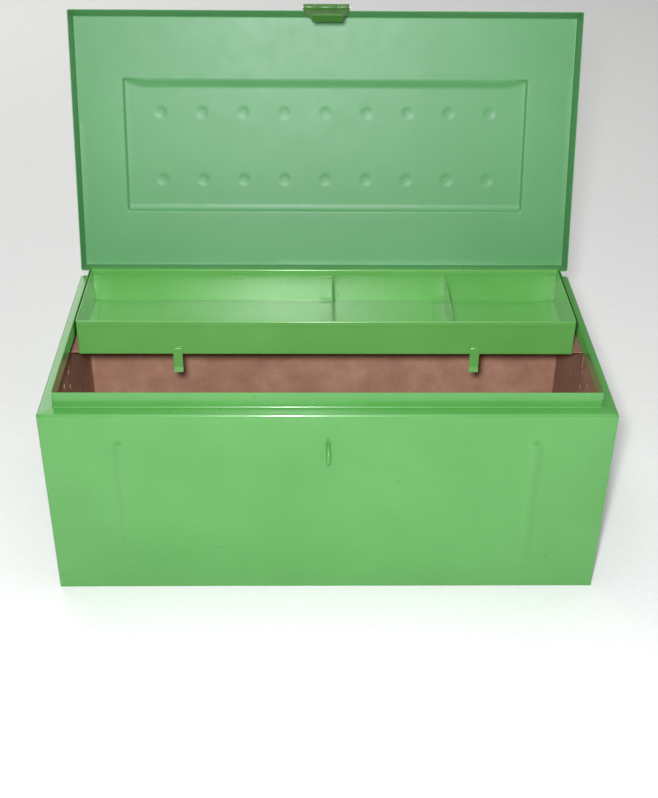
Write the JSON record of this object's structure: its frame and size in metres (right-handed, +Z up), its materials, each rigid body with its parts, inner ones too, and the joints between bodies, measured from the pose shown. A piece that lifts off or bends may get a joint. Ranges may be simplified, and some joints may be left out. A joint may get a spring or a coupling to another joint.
{
  "type": "metal tool box",
  "caption": "Trunk-style sheet-steel tool box with a hinged lid, a padlock hasp and staple, drop handles on its ends and a lift-out tote tray with dividers, shown open.",
  "frame": {"origin": "middle of the flat underside of the body, on the surface that the box stands on", "axes": "+Z up, +X to the right along the box's length as seen from the front, -Y towards the front with the hasp and staple, so the hinges are at +Y"},
  "size_m": [0.6346, 0.448, 0.5613],
  "materials": {
    "body_paint": "green enamel outside, matt red-brown primer inside",
    "lid_paint": "green enamel",
    "tray_paint": "green enamel",
    "hardware_paint": "green enamel, worn at the edges",
    "primer": "matt red-brown primer",
    "plated_steel": "dull zinc plate"
  },
  "bodies": {
    "box": {"front_panel": "body_paint", "back_panel": "body_paint", "end_panel_left": "body_paint", "end_panel_right": "body_paint", "bottom_pan": "body_paint", "staple": "hardware_paint", "staple_plate": "primer", "tray_support_left": "primer", "tray_support_right": "primer", "hinge_left_body_leaf": "hardware_paint", "hinge_right_body_leaf": "hardware_paint", "hinge_left_pin": "plated_steel", "hinge_right_pin": "plated_steel", "hinge_body_rivets": "hardware_paint", "handle_left_plate": "hardware_paint", "handle_right_plate": "hardware_paint", "handle_left_rivets": "hardware_paint", "handle_right_rivets": "hardware_paint"},
    "lid": {"lid_shell": "lid_paint", "hinge_left_lid_leaf": "hardware_paint", "hinge_right_lid_leaf": "hardware_paint", "hinge_lid_rivets": "hardware_paint", "hasp_fixed_leaf": "hardware_paint", "hasp_rivets": "hardware_paint"},
    "hasp_carrier": {"hasp_pin": "plated_steel"},
    "hasp": {"hasp_leaf": "hardware_paint"},
    "tray": {"tray_pan": "tray_paint", "tray_end_left": "tray_paint", "tray_end_right": "tray_paint", "tray_divider_middle": "tray_paint", "tray_divider_right": "tray_paint", "tray_clip_left": "tray_paint", "tray_clip_right": "tray_paint"},
    "left_handle": {"handle_left_bail": "plated_steel"},
    "right_handle": {"handle_right_bail": "plated_steel"}
  },
  "joints": [
    {"name": "lid_hinge", "type": "hinge", "parent": "box", "child": "lid", "pos_m": [0, 0.1595, 0.23715], "axis": [1, 0, 0], "range_deg": [0, 105.6]},
    {"name": "hasp_lift", "type": "hinge", "parent": "lid", "child": "hasp_carrier", "pos_m": [0, 0.24426, 0.545], "axis": [-1, 0, 0], "range_deg": [0, 34.5]},
    {"name": "hasp_swing", "type": "hinge", "parent": "hasp_carrier", "child": "hasp", "pos_m": [0, 0.24426, 0.545], "axis": [-1, 0, 0], "range_deg": [-25, 130]},
    {"name": "tray_lift", "type": "slide", "parent": "box", "child": "tray", "axis": [0, 0, 1], "range_m": [0, 0.015]},
    {"name": "left_handle_swing", "type": "hinge", "parent": "box", "child": "left_handle", "pos_m": [-0.31195, 0, 0.172], "axis": [0, 1, 0], "range_deg": [0, 90]},
    {"name": "right_handle_swing", "type": "hinge", "parent": "box", "child": "right_handle", "pos_m": [0.31195, 0, 0.172], "axis": [0, -1, 0], "range_deg": [0, 90]}
  ],
  "couplings": [
    {"joint": "hasp_lift", "follows": "lid_hinge", "ratio": 0.3267}
  ]
}
